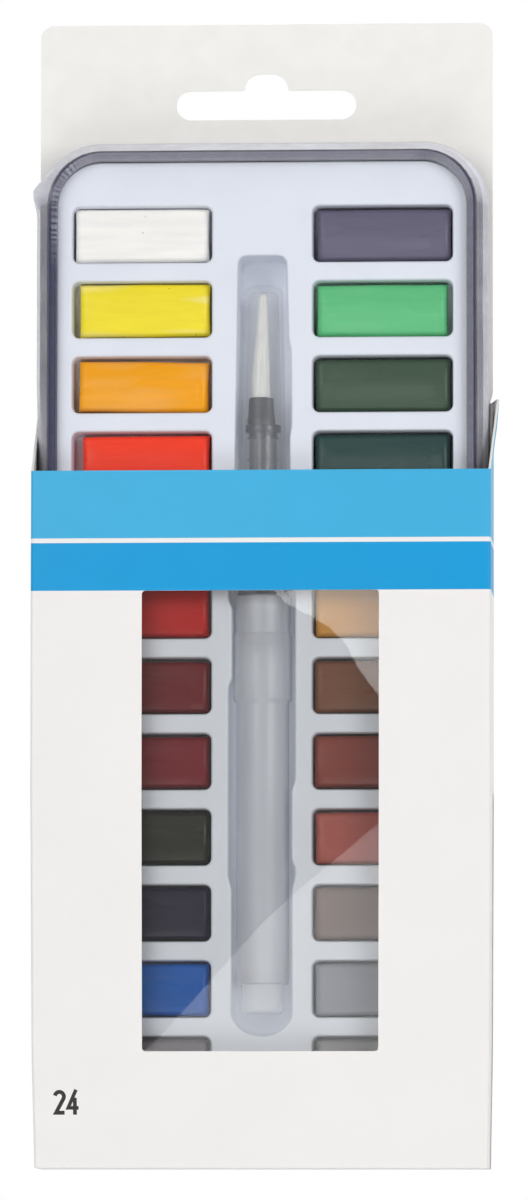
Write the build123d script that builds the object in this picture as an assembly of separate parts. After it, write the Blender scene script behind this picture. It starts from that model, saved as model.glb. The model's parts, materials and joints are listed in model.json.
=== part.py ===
from build123d import *
import os
from math import radians, tan

# Watercolour pan set: a shallow tin of paint cakes and a water brush, standing in an open-topped card
# sleeve with a hang tab. Millimetres. The set lies on its back: X is its width, Y runs up the sleeve to
# the hang tab, +Z comes out of the front. The origin is under the middle of the whole outline.

# Card sleeve
board = 0.5
fold_radius = 0.45  # outside the two folds along the front panel
sleeve_gap = 0.23  # between the film and each side panel
front_gap = 2.1  # between the rim of the tin and the window pane
tab_rise = 27.36  # of the hang tab over the tins
front_height = 148.2
side_rise = 16.2  # how far the side panels climb above the front panel on their way to the back
bottom_layers = 3  # outer bottom panel over two dust flaps
glue_flap = 8.0
tab_corner = 2.8
slot_width = 38.4
slot_height = 6.4
slot_drop = 14.4  # from the top of the tab to the top of the slot
slot_bump = 9.3
slot_bump_rise = 3.6
window_width = 50.5
window_length = 97.9
window_up = 24.6  # from the bottom of the sleeve
window_corner = 0.8
pane_thickness = 0.2
pane_margin = 5.0

# Tins
sheet = 0.4
base_corner = 11.5
rim_bead = 2.0
lid_height = 11.5
lid_bead = 1.9
hem_bevel = 0.3  # share of the width of a folded edge
lid_gap = 0.3  # all round between the rim of the base and the wall of the lid
foot_slope = 1.4  # the sloping foot of both tins, which the skirt of the tray follows

# Film round the two nested tins
film = 0.15
film_gap = 0.12
film_top_drop = 0.5

# Moulded tray
tray_gap = 0.15
tray_drop = 2.8  # from the top of the rim to the face of the tray
tray_under = 1.7  # between the trough and the floor of the tin
tray_side = 2.84  # from the wells to the long edges of the tray
tray_end = 9.425  # from the wells to the short edges of the tray
tray_wall = 0.9
tray_lip = 0.5  # bevel round the face and the mouths
tray_draft = 2.0  # degrees
rows = 12
row_web = 3.95  # between one well and the next
column_web = 3.51  # between the wells and the channel
well_width = 30.1
well_length = 12.2
well_corner = 0.9
well_depth = 7.0

# Paint cakes
cake_gap = 0.3  # to the walls of the well at its floor
cake_height = 5.9
cake_crown = 1.2  # rise of the rounded top over its long edges

# Channel for the brush
brush_mouth = 11.4  # from the middle of the tray up to the mouth of the barrel
brush_proud = 1.95  # how far the brush stands above the face of the tray
head_room = 6.05  # beyond the cap
tail_room = 4.7  # beyond the end plug
channel_end_gap = 1.0
channel_neck_gap = 1.65
channel_gap = 0.9
channel_tail_gap = 0.75
channel_neck = 46.4  # up from the middle of the tray, as the next three
channel_tail = -49.0
left_nub = -6.3
right_nub = -45.0
nub_length = 14.5
nub_gap = 0.1  # between a nub and the widest part of the brush
channel_shoulder = 1.4
channel_corner = 1.2
recess_radius = 6.8

# Water brush, as distances along Y from the mouth of its barrel
brush_radius = 6.3
barrel_length = 83.0
mouth_band = 8.4
band_groove = 0.35
grip_length = 22.9
grip_edge = 0.7
tank_radius = 5.65
tail_edge = 0.5
tail_wall = 1.8
barrel_wall = 0.9
mouth_radius = 4.0
mouth_depth = 10.0
plug_radius = 4.35
plug_length = 6.2
plug_bore = 3.2
plug_spigot = 4.0
plug_edge = 0.6
plug_fit = 0.02
brush_floor_gap = 0.15
cap_length = 66.4
cap_tip_radius = 4.2
cap_end = 1.2
cap_edge = 0.8
cap_wall = 0.9
cap_gap = 0.15  # between the cap and the mouth of the barrel
fit = 0.08  # radial clearance of the cap on the collar and the collar in the barrel
collar_grip = 5.0
collar_radius = 4.6
collar_body = 17.0
neck_radius = 3.3
collar_length = 38.3
flange_radius = 3.95
flange_thickness = 1.0
ring_radius = 3.7
ring_drop = 1.6  # from the flange to a thin ring round the neck
ring_height = 0.8
grip_band = 1.2  # a raised band round the body, just over the grip
grip_band_radius = 5.0
spigot_length = 8.0
feed_radius = 1.5
feed_tail = 12.0
seal_section = 1.4
seal_drop = 1.6
ferrule_length = 6.4
ferrule_radius = 2.7
ferrule_wall = 0.3
ferrule_seat = 1.5
bristle_tip = 64.7
bristle_point = 0.4
bristle_radius = 2.45
bristle_swell = 5.0

# Sizes and places that follow from those above
channel_width = 2 * (brush_radius + channel_gap)
column_offset = channel_width / 2 + column_web + well_width / 2
row_pitch = well_length + row_web
tray_width = 2 * (column_offset + well_width / 2 + tray_side)
tray_length = row_pitch * (rows - 1) + well_length + 2 * tray_end
base_width = tray_width + 2 * (tray_gap + rim_bead)
base_length = tray_length + 2 * (tray_gap + rim_bead)
channel_depth = 2 * brush_radius + brush_floor_gap - brush_proud
base_height = sheet + tray_under + tray_wall + channel_depth + tray_drop
lid_inner = base_width + 2 * lid_gap
film_reach = lid_gap + lid_bead + film_gap + film  # from the rim of the base out to the film
case_rest = 0.2  # clearance under the lid and at its lower end
case_floor = board + case_rest
lid_rim = case_floor + lid_height
base_floor = case_floor + sheet
rim_top = base_floor + base_height
tray_face = rim_top - tray_drop
bottom_thickness = bottom_layers * board
sleeve_width = base_width + 2 * (film_reach + sleeve_gap + board)
sleeve_depth = rim_top + front_gap + pane_thickness + board
sleeve_length = bottom_thickness + case_rest + 2 * film_reach + base_length + tab_rise
case_y = -sleeve_length / 2 + bottom_thickness + case_rest + film_reach + base_length / 2
brush_z = tray_face - channel_depth + brush_floor_gap + brush_radius
brush_y = case_y + brush_mouth
draft_slope = tan(radians(tray_draft))
nub_reach = channel_gap - nub_gap - (tray_face - brush_z) * draft_slope


def slab(width, length, height, radius, z):
    """A flat block with rounded corners, standing at height z on the middle of the tins."""
    return extrude(Pos(0, case_y, z) * RectangleRounded(width, length, radius), height)


def drafted(outline, top, depth):
    """A plug of the outline at the top that narrows downwards by the draft of the tray."""
    return extrude(Pos(0, 0, top) * outline, amount=depth, dir=(0, 0, -1), taper=tray_draft)


def hem(width, length, corner, section, z):
    """The folded edge of a tin: a ring of the given outline with its top bevelled, from height z up."""
    ring = slab(width, length, section, corner, z)
    ring -= slab(width - 2 * section, length - 2 * section, section, corner - section, z)
    return chamfer(ring.faces().sort_by(Axis.Z)[-1].edges(), section * hem_bevel)


def tin(width, length, corner, height, section, z):
    """A drawn sheet pan with a sloping foot and its top edge folded outwards to the given width."""
    inner_width = width - 2 * section
    inner_length = length - 2 * section
    inner_corner = corner - section
    body = slab(
        inner_width + 2 * sheet, inner_length + 2 * sheet, height - section / 2, inner_corner + sheet, z
    )
    body = chamfer(body.faces().sort_by(Axis.Z)[0].edges(), foot_slope)
    hollow = slab(inner_width, inner_length, height, inner_corner, z + sheet)
    hollow = chamfer(hollow.faces().sort_by(Axis.Z)[0].edges(), foot_slope)
    return body + hem(width, length, corner, section, z + height - section) - hollow


def turned(edges):
    """A piece turned about the axis of the brush from the closed outline of half its section."""
    return Pos(0, brush_y, brush_z) * revolve(make_face(edges), Axis.Y)


def hang_slot():
    """The outline of the hanging hole: a round-ended slot with a bump for a single hook."""
    centre_y = sleeve_length / 2 - slot_drop - slot_height / 2
    slot = SlotOverall(slot_width, slot_height)
    bump_centre = slot_height / 2 + slot_bump_rise - slot_bump / 2
    return Pos(0, centre_y) * (slot + Pos(0, bump_centre) * Circle(slot_bump / 2))


def carton():
    """The folded sleeve: back panel with the tab, two sloping sides, windowed front, glued bottom."""
    low = -sleeve_length / 2
    half = sleeve_width / 2
    back = Rectangle(sleeve_width, sleeve_length)
    back = fillet(back.vertices().group_by(Axis.Y)[-1], tab_corner)
    back = extrude(back - hang_slot(), board)
    front_top = low + front_height
    side = Polyline(
        (low, 0), (low, sleeve_depth), (front_top, sleeve_depth), (front_top + side_rise, 0), close=True
    )
    side = make_face(Plane.YZ * side)
    left = extrude(Pos(-half, 0, 0) * side, amount=board, dir=(1, 0, 0))
    right = extrude(Pos(half, 0, 0) * side, amount=board, dir=(-1, 0, 0))
    front = Pos(0, low + front_height / 2) * Rectangle(sleeve_width, front_height)
    front -= Pos(0, low + window_up + window_length / 2) * RectangleRounded(
        window_width, window_length, window_corner
    )
    front = extrude(Pos(0, 0, sleeve_depth - board) * front, board)
    bottom = Pos(0, low + bottom_thickness / 2, sleeve_depth / 2) * Box(
        sleeve_width, bottom_thickness, sleeve_depth
    )
    flap = Pos(half - 1.5 * board, low + front_height / 2, board + glue_flap / 2) * Box(
        board, front_height, glue_flap
    )
    sleeve = back + left + right + front + bottom + flap
    folds = sleeve.edges().filter_by(Axis.Y).group_by(Axis.Z)[-1].sort_by(Axis.X)
    return fillet([folds[0], folds[-1]], fold_radius)


def window_pane():
    """The clear sheet glued inside the front panel, over the window."""
    pane = Rectangle(window_width + 2 * pane_margin, window_length + 2 * pane_margin)
    centre_y = -sleeve_length / 2 + window_up + window_length / 2
    under = sleeve_depth - board - pane_thickness
    return extrude(Pos(0, centre_y, under) * pane, pane_thickness)


def film_band():
    """Shrunk film: from the rim of the base out over the bead of the lid and down to its foot."""
    levels = (
        (case_floor + foot_slope, lid_inner / 2 + sheet + film_gap),
        (lid_rim - lid_bead, base_width / 2 + lid_gap + lid_bead + film_gap),
        (lid_rim - lid_bead * hem_bevel, base_width / 2 + lid_gap + lid_bead + film_gap),
        (rim_top - film_top_drop, base_width / 2 + film_gap),
    )
    rise = (base_length - base_width) / 2
    skins = []
    for thickness in (film, 0.0):
        rings = []
        for z, half in levels:
            corner = half - base_width / 2 + base_corner + thickness
            ring = RectangleRounded(2 * (half + thickness), 2 * (half + thickness + rise), corner)
            rings.append(Pos(0, case_y, z) * ring)
        skins.append(loft(rings, ruled=True))
    return skins[0] - skins[1]


def well_places():
    """The middles of the wells, row by row from the tab end, left before right."""
    top = case_y + row_pitch * (rows - 1) / 2
    return [(side * column_offset, top - row_pitch * row) for row in range(rows) for side in (-1, 1)]


def channel_outline():
    """The plan of the channel at the face of the tray: slim head, body with two nubs, round recess."""
    top = brush_mouth + cap_length + head_room
    recess = brush_mouth - barrel_length - plug_length - tail_room + recess_radius
    half = channel_width / 2
    neck = cap_tip_radius + channel_neck_gap
    end = cap_tip_radius + channel_end_gap
    tail = tank_radius + channel_tail_gap
    left = left_nub, left_nub + nub_length
    right = right_nub, right_nub + nub_length
    reach = nub_reach
    plan = Polyline(
        (-end, top),
        (-neck, channel_neck),
        (-half, channel_neck - channel_shoulder),
        (-half, left[1] + reach),
        (-half + reach, left[1]),
        (-half + reach, left[0]),
        (-half, left[0] - reach),
        (-half, channel_tail),
        (-tail, channel_tail - channel_shoulder),
        (-tail, recess),
        (tail, recess),
        (tail, channel_tail - channel_shoulder),
        (half, channel_tail),
        (half, right[0] - reach),
        (half - reach, right[0]),
        (half - reach, right[1]),
        (half, right[1] + reach),
        (half, channel_neck - channel_shoulder),
        (neck, channel_neck),
        (end, top),
        close=True,
    )
    plan = make_face(plan)
    plan = fillet(plan.vertices().group_by(Axis.Y)[-1], channel_corner)
    plan += Pos(0, recess) * Circle(recess_radius)
    return Pos(0, case_y) * plan


def pan_tray():
    """The moulded tray: a face with a skirt, and thin-walled cups and trough hanging from it."""
    corner = base_corner - rim_bead - tray_gap
    skirt = tray_face - base_floor - sheet
    block = slab(tray_width, tray_length, skirt, corner, base_floor + sheet)
    block = chamfer(block.faces().sort_by(Axis.Z)[0].edges(), foot_slope)
    block -= slab(
        tray_width - 2 * tray_wall,
        tray_length - 2 * tray_wall,
        skirt - tray_wall,
        corner - tray_wall,
        base_floor + sheet,
    )
    places = [Pos(x, y) for x, y in well_places()]
    cup = Rectangle(well_width + 2 * tray_wall, well_length + 2 * tray_wall)
    well = Rectangle(well_width, well_length)
    well = chamfer(well.vertices(), well_corner)
    cups = drafted(cup, tray_face, well_depth + tray_wall)
    wells = drafted(well, tray_face, well_depth)
    plan = channel_outline()
    trough = drafted(offset(plan, tray_wall, kind=Kind.INTERSECTION), tray_face, channel_depth + tray_wall)
    block += [place * cups for place in places] + [trough]
    block -= [place * wells for place in places] + [drafted(plan, tray_face, channel_depth)]
    return chamfer(block.faces().sort_by(Axis.Z)[-1].edges(), tray_lip)


def cake():
    """One pressed paint cake with a crowned top, standing on the origin."""
    lean = well_depth * draft_slope
    half_width = well_length / 2 - lean - cake_gap
    edge = cake_height - cake_crown
    crown = ThreePointArc((-half_width, edge), (0, cake_height), (half_width, edge))
    sides = Polyline((half_width, edge), (half_width, 0), (-half_width, 0), (-half_width, edge))
    section = Plane.YZ * make_face(sides + crown)
    block = extrude(section, amount=well_width / 2 - lean - cake_gap, both=True)
    return chamfer(block.edges().filter_by(Axis.Z), well_corner)


def brush_barrel():
    """The squeezable barrel: a banded mouth, a grip, a slimmer tank and an open tail."""
    tail = -barrel_length
    bore = tank_radius - barrel_wall
    neck = (mouth_radius, -mouth_depth)
    return turned(
        Polyline(
            neck,
            (mouth_radius, 0),
            (brush_radius - band_groove, 0),
            (brush_radius - band_groove, -mouth_band),
            (brush_radius, -mouth_band),
            (brush_radius, -grip_length + grip_edge),
            (tank_radius, -grip_length),
            (tank_radius, tail + tail_edge),
            (tank_radius - tail_edge, tail),
            (plug_bore, tail),
            (plug_bore, tail + tail_wall),
            (bore, tail + tail_wall),
            (bore, neck[1] - (bore - mouth_radius)),
            close=True,
        )
    )


def brush_end_plug():
    """The plug that closes the tail of the barrel."""
    start = -barrel_length
    spigot = plug_bore - plug_fit
    return turned(
        Polyline(
            (0, start + plug_spigot),
            (spigot, start + plug_spigot),
            (spigot, start),
            (plug_radius, start),
            (plug_radius, start - plug_length + plug_edge),
            (plug_radius - plug_edge, start - plug_length),
            (0, start - plug_length),
            close=True,
        )
    )


def brush_collar():
    """The head that screws into the barrel: grooved spigot, grip, body, neck, flange and nose."""
    spigot = mouth_radius - fit
    grip = brush_radius - cap_wall - fit
    flange = collar_length - ferrule_seat
    nose = ferrule_radius - ferrule_wall
    ring = flange - flange_thickness - ring_drop
    return turned(
        Polyline(
            (feed_radius, -spigot_length),
            (spigot, -spigot_length),
            (spigot, -seal_drop - seal_section),
            (spigot - seal_section, -seal_drop - seal_section),
            (spigot - seal_section, -seal_drop),
            (spigot, -seal_drop),
            (spigot, cap_gap / 2),
            (grip, cap_gap / 2),
            (grip, collar_grip),
            (grip_band_radius, collar_grip),
            (grip_band_radius, collar_grip + grip_band),
            (collar_radius, collar_grip + grip_band),
            (collar_radius, collar_body),
            (neck_radius, collar_body + collar_radius - neck_radius),
            (neck_radius, ring - ring_height),
            (ring_radius, ring - ring_height),
            (ring_radius, ring),
            (neck_radius, ring),
            (neck_radius, flange - flange_thickness),
            (flange_radius, flange - flange_thickness),
            (flange_radius, flange),
            (nose, flange),
            (nose, collar_length),
            (feed_radius, collar_length),
            close=True,
        )
    )


def brush_seal():
    """The rubber ring in the groove of the spigot."""
    outer = mouth_radius - fit
    inner = outer - seal_section + fit
    top = -seal_drop - fit / 2
    bottom = top - seal_section + fit
    return turned(Polyline((inner, top), (outer, top), (outer, bottom), (inner, bottom), close=True))


def brush_feed():
    """The dark wick that carries water from the barrel to the bristles."""
    return turned(
        Polyline(
            (0, -feed_tail),
            (feed_radius, -feed_tail),
            (feed_radius, collar_length),
            (0, collar_length),
            close=True,
        )
    )


def brush_ferrule():
    """The dark sleeve that holds the bristles, pushed over the nose of the collar."""
    start = collar_length - ferrule_seat
    bore = ferrule_radius - ferrule_wall
    return turned(
        Polyline(
            (bore, start),
            (ferrule_radius, start),
            (ferrule_radius, start + ferrule_length),
            (bore, start + ferrule_length),
            close=True,
        )
    )


def brush_bristles():
    """The round tuft, filling the ferrule, swelling out of it and drawn to a point."""
    mouth = collar_length - ferrule_seat + ferrule_length
    return turned(
        Polyline(
            (0, collar_length),
            (ferrule_radius - ferrule_wall, collar_length),
            (ferrule_radius - ferrule_wall, mouth),
            (bristle_radius, mouth + bristle_swell),
            (bristle_point, bristle_tip),
            (0, bristle_tip),
            close=True,
        )
    )


def brush_cap():
    """The clear cap over the head of the brush: a narrowing tube closed at the tip."""
    return turned(
        Polyline(
            (brush_radius - cap_wall, cap_gap),
            (brush_radius, cap_gap),
            (cap_tip_radius, cap_length - cap_edge),
            (cap_tip_radius - cap_edge, cap_length),
            (0, cap_length),
            (0, cap_length - cap_end),
            (cap_tip_radius - cap_wall, cap_length - cap_end),
            (brush_radius - cap_wall, collar_grip),
            close=True,
        )
    )


pieces = {
    "carton": carton(),
    "window_pane": window_pane(),
    "shrink_band": film_band(),
    "lid_tin": tin(
        lid_inner + 2 * lid_bead,
        base_length + 2 * (lid_gap + lid_bead),
        base_corner + lid_gap + lid_bead,
        lid_height,
        lid_bead,
        case_floor,
    ),
    "base_tin": tin(base_width, base_length, base_corner, base_height, rim_bead, base_floor),
    "pan_tray": pan_tray(),
    "brush_barrel": brush_barrel(),
    "brush_end_plug": brush_end_plug(),
    "brush_collar": brush_collar(),
    "brush_seal": brush_seal(),
    "brush_feed": brush_feed(),
    "brush_ferrule": brush_ferrule(),
    "brush_bristles": brush_bristles(),
    "brush_cap": brush_cap(),
}
cake_floor = tray_face - well_depth
for number, (x, y) in enumerate(well_places()):
    side = "left" if x < 0 else "right"
    pieces[f"cake_{side}_{number // 2 + 1:02d}"] = Pos(x, y, cake_floor) * cake()

os.makedirs("parts", exist_ok=True)
for name, piece in pieces.items():
    export_step(piece, f"parts/{name}.step")
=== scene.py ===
"""Looks of the watercolour pan set: card sleeve, tins, tray, paint cakes and water brush.

Lengths in this script are millimetres until a mesh is made. Every curved surface is a grid of
points worked out by a formula, which the function's docstring gives in words.
"""
import json
import math
import bmesh
import bpy
import numpy as np
from mathutils import Matrix, Vector
from mathutils.geometry import delaunay_2d_cdt


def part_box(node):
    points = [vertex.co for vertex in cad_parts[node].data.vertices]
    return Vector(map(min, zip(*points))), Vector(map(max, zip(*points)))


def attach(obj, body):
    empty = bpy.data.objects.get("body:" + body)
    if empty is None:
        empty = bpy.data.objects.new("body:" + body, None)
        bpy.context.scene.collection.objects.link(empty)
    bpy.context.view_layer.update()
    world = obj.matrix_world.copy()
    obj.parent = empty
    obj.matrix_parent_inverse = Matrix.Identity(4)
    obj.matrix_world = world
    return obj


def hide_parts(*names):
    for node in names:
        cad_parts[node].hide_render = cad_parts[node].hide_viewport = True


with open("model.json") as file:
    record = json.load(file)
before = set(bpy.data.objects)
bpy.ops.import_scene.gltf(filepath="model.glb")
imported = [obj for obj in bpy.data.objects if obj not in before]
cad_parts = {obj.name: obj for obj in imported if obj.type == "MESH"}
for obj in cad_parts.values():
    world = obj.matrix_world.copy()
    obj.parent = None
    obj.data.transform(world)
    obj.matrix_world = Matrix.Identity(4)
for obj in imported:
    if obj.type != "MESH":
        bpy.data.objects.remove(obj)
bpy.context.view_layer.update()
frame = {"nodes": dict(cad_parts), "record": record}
scene = bpy.context.scene
MM = 0.001


def box(node):
    """Lowest and highest corner of a CAD node in millimetres."""
    low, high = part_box(node)
    return np.array(low) / MM, np.array(high) / MM


# ---- places read from the frame
carton_low, carton_high = box("carton")
base_low, base_high = box("base_tin")
lid_low, lid_high = box("lid_tin")
tray_low, tray_high = box("pan_tray")
barrel_low, barrel_high = box("brush_barrel")
ferrule_low, ferrule_high = box("brush_ferrule")
pane_top = box("window_pane")[1][2]
plug_end = box("brush_end_plug")[0][1]
collar_end = box("brush_collar")[1][1]
cap_end = box("brush_cap")[1][1]
mid = (tray_low[1] + tray_high[1]) / 2
face = tray_high[2]
# The brush lies along Y at x = 0 and this height, and its lengths count from the barrel's mouth.
axis_z = (barrel_low[2] + barrel_high[2]) / 2
mouth = barrel_high[1]
cake_nodes = sorted(n for n in frame["nodes"] if n.startswith("cake_"))
# Thickness of the sleeve's board.
board = 0.5


# ---- materials
def lin(colour):
    """Scene-linear RGBA from an sRGB hex colour."""
    c = np.array([int(colour[i:i + 2], 16) for i in (1, 3, 5)]) / 255
    c = np.where(c <= 0.04045, c / 12.92, ((c + 0.055) / 1.055) ** 2.4)
    return (*[float(v) for v in c], 1.0)


def wire(node, inputs):
    """Sets a node's inputs, by name or number, to a value, an output, or a node's first output."""
    for key, value in dict(inputs).items():
        value = value.outputs[0] if isinstance(value, bpy.types.Node) else value
        if isinstance(value, bpy.types.NodeSocket):
            node.id_data.links.new(value, node.inputs[key])
        else:
            node.inputs[key].default_value = value


def add(tree, kind, inputs=(), stops=(), **settings):
    """Adds a node with its settings, its inputs, and a ramp's stops.

    A stop is a place and a hex colour or a grey level.
    """
    node = tree.nodes.new("ShaderNode" + kind)
    for key, value in settings.items():
        setattr(node, key, value)
    for k, (at, colour) in enumerate(stops):
        element = node.color_ramp.elements[k]
        element.position = at
        element.color = lin(colour) if isinstance(colour, str) else (colour, colour, colour, 1)
    wire(node, inputs)
    return node


class Look:
    """A node material: its principled shader, its output and the piece's own coordinates."""

    def __init__(self, name, **shader):
        self.material = bpy.data.materials.new(name)
        self.material.use_nodes = True
        self.tree = self.material.node_tree
        self.tree.nodes.clear()
        inputs = {key.replace("_", " "): value for key, value in shader.items()}
        self.shader = self.add("BsdfPrincipled", inputs)
        self.out = self.add("OutputMaterial", {"Surface": self.shader})
        self.place = self.add("TexCoord").outputs["Object"]

    def add(self, kind, inputs=(), stops=(), **settings):
        return add(self.tree, kind, inputs, stops, **settings)

    def clouds(self, size, detail=3.0, stretch=(1, 1, 1), rough=0.5, shift=(0, 0, 0)):
        """A noise pattern whose features are about size mm across, stretched along the axes."""
        scale = [1 / (size * MM * s) for s in stretch]
        place = self.add("Mapping", {"Vector": self.place, "Scale": scale, "Location": shift})
        noise = {"Vector": place, "Scale": 1.0, "Detail": detail, "Roughness": rough}
        return self.add("TexNoise", noise)


def shade(colour, factor):
    """The sRGB hex colour with each channel multiplied."""
    channels = (int(colour[i:i + 2], 16) * factor for i in (1, 3, 5))
    return "#" + "".join("%02x" % min(255, round(channel)) for channel in channels)


def plain(name, colour, roughness=0.4, spread=0.02, patch=9.0, grain=(0.6, 0.006),
          stretch=(1, 1, 1), uneven=0.16, **shader):
    """A solid colour that varies slowly between two near tones, with a fine grain and uneven gloss.

    The tones differ by spread over patches of the given size; the grain has a width and a height,
    all in mm; the roughness varies by uneven.
    """
    look = Look(name, Roughness=roughness, **shader)
    tone = look.add("ValToRGB", {0: look.clouds(patch, stretch=stretch)},
                    [(0.3, shade(colour, 1 - spread)), (0.7, shade(colour, 1 + spread))])
    grains = look.clouds(grain[0], stretch=stretch)
    bump = look.add("Bump", {"Height": grains, "Distance": grain[1] * MM})
    gloss = look.add("Math", {0: look.clouds(patch * 0.4), 1: uneven, 2: roughness - uneven / 2},
                     operation="MULTIPLY_ADD")
    wire(look.shader, {"Base Color": tone, "Normal": bump, "Roughness": gloss})
    return look


def pressed(name, colour):
    """A pressed paint cake: faint streaks along its length, a few pits and a soft uneven sheen.

    The real streaks and pits are finer than half a millimetre. The streaks are drawn 1.5 mm wide,
    and the pits 3.2 mm apart, so that they show. Part of the sheen is painted: pale highlight
    streaks are mixed into the colour, and the pits are darkened as painted shade.
    """
    look = Look(name, Specular_IOR_Level=0.2)
    streak = look.clouds(1.5, 4.0, (8, 1, 3))
    tone = look.add("ValToRGB", {0: streak},
                    [(0.3, shade(colour, 0.985)), (0.7, shade(colour, 1.012))])
    cell = look.add("TexVoronoi",
                    {"Vector": look.place, "Scale": 1 / (3.2 * MM), "Randomness": 1.0})
    pit = look.add("ValToRGB", {0: cell}, [(0.03, 0.0), (0.09, 1.0)])
    rare = look.add("Math", {0: look.clouds(7.0), 1: 0.56}, operation="GREATER_THAN")
    whole = look.add("Math", {0: 1.0, 1: rare}, operation="SUBTRACT")
    low = look.add("Math", {0: pit, 1: whole}, operation="MAXIMUM")
    painted_highlight = look.add("ValToRGB", {0: look.clouds(2.8, 0.5, (6, 1, 3), shift=(3, 1, 0))},
                      [(0.52, 0.0), (0.7, 1.0)])
    # Painted highlights: pale streaks mixed into the colour, strongest on yellow, orange and white.
    red, green = lin(colour)[:2]
    highlight_share = look.add("Math", {0: painted_highlight, 1: 0.005 + 0.42 * red * green ** 2}, operation="MULTIPLY")
    # A colour Mix node has its colours in inputs 6 and 7 and its result in output 2.
    pale = look.add("Mix", {0: highlight_share, 6: tone, 7: lin("#fffdf2")}, data_type="RGBA")
    # Painted shade: the pits are darkened in colour as their hollows would be in shadow.
    dark = look.add("Mix", {0: 0.45, 6: pale.outputs[2], 7: low}, data_type="RGBA",
                    blend_type="MULTIPLY")
    first = look.add("Bump", {"Height": low, "Distance": 0.06 * MM})
    bump = look.add("Bump", {"Height": streak, "Distance": 0.012 * MM, "Normal": first})
    gloss = look.add("Math", {0: look.clouds(5.0, stretch=(4, 1, 1)), 1: 0.2, 2: 0.18},
                     operation="MULTIPLY_ADD")
    wire(look.shader, {"Base Color": dark.outputs[2], "Normal": bump, "Roughness": gloss})
    return look


def glancing(look, low, rise, power=4.0):
    """A share that is low face on and rises by rise towards grazing angles."""
    facing = look.add("LayerWeight", {"Blend": 0.5}).outputs["Facing"]
    steep = look.add("Math", {0: facing, 1: power}, operation="POWER")
    return look.add("Math", {0: steep, 1: rise, 2: low}, operation="MULTIPLY_ADD")


def clear(name, tint, roughness, low, rise):
    """A thin clear sheet: see-through, with a gloss that grows towards grazing angles.

    Specks of dust dull the gloss. They are drawn 0.9 mm wide, coarser than they are, to show.
    """
    look = Look(name, Roughness=roughness, Base_Color=lin(tint))
    dust = look.add("ValToRGB", {0: look.clouds(0.9, 6.0, rough=0.7)}, [(0.70, 0.0), (0.76, 1.0)])
    rough = look.add("Math", {0: dust, 1: 0.3, 2: roughness}, operation="MULTIPLY_ADD")
    gloss = look.add("BsdfGlossy", {"Roughness": rough, "Color": (1, 1, 1, 1)})
    through = look.add("BsdfTransparent", {"Color": lin(tint)})
    mix = look.add("MixShader", {0: glancing(look, low, rise), 1: through, 2: gloss})
    wire(look.out, {"Surface": mix})
    return look


def veil(name, tint, cover, roughness, edge, shadow, patch, stretch=(1, 1, 1), haze_and_glare=None,
         **shader):
    """Hazy see-through plastic: a share of its own colour over a clear view, more at the edges.

    Edge is the share gained towards grazing angles. Light that passes is dimmed by only the
    shadow's part of the share. The haze argument names a value kept on the piece's points that is
    added; on the film this value is partly real milkiness and partly painted glare.
    """
    look = plain(name, tint, roughness, 0.03, patch, stretch=stretch, **shader)
    share = glancing(look, cover, edge, 2.0)
    if haze_and_glare:
        local = look.add("Attribute", attribute_name=haze_and_glare).outputs["Fac"]
        share = look.add("Math", {0: share, 1: local}, operation="ADD")
    path = look.add("LightPath")
    dim = look.add("Math", {0: path.outputs["Is Shadow Ray"], 1: shadow - 1.0, 2: 1.0},
                   operation="MULTIPLY_ADD")
    share = look.add("Math", {0: share, 1: dim}, operation="MULTIPLY", use_clamp=True)
    through = look.add("BsdfTransparent", {"Color": (1, 1, 1, 1)})
    mix = look.add("MixShader", {0: share, 1: through, 2: look.shader})
    wire(look.out, {"Surface": mix})
    return look


# ---- outlines and surfaces
def rounded(corners, radii, steps):
    """A closed counter-clockwise outline whose corners are arcs: points and outward normals.

    Each arc touches both sides of its corner; its points turn evenly from one side's normal to
    the next side's.
    """
    corners = np.asarray(corners, float)
    points, normals = [], []
    for i, radius in enumerate(np.broadcast_to(radii, len(corners))):
        before, here, after = corners[i - 1], corners[i], corners[(i + 1) % len(corners)]
        u = (here - before) / np.linalg.norm(here - before)
        v = (after - here) / np.linalg.norm(after - here)
        turn = math.atan2(u[0] * v[1] - u[1] * v[0], u @ v)
        side = 1 if turn > 0 else -1
        normal = np.array([u[1], -u[0]])
        centre = here - u * radius * math.tan(abs(turn) / 2) - normal * radius * side
        angle = np.linspace(0, turn, steps + 1)
        n = np.stack([normal[0] * np.cos(angle) - normal[1] * np.sin(angle),
                      normal[0] * np.sin(angle) + normal[1] * np.cos(angle)], 1)
        points.append(centre + n * radius * side)
        normals.append(n)
    return np.vstack(points), np.vstack(normals)


def oblong(half_x, half_y, radius, centre, steps):
    """The outline of a rectangle with rounded corners."""
    corners = np.array([(1, -1), (1, 1), (-1, 1), (-1, -1)]) * (half_x, half_y) + centre
    return rounded(corners, radius, steps)


def dense(outline, gap):
    """The same outline with points at most gap apart, halfway points taking halfway normals."""
    points, normals = outline
    run, turn = np.roll(points, -1, 0) - points, np.roll(normals, -1, 0) - normals
    count = np.maximum(1, np.ceil(np.linalg.norm(run, axis=1) / gap)).astype(int)
    step = np.arange(count.sum()) - np.repeat(np.cumsum(count) - count, count)
    t = (step / np.repeat(count, count))[:, None]
    n = np.repeat(normals, count, 0) + np.repeat(turn, count, 0) * t
    return (np.repeat(points, count, 0) + np.repeat(run, count, 0) * t,
            n / np.linalg.norm(n, axis=1)[:, None])


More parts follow.
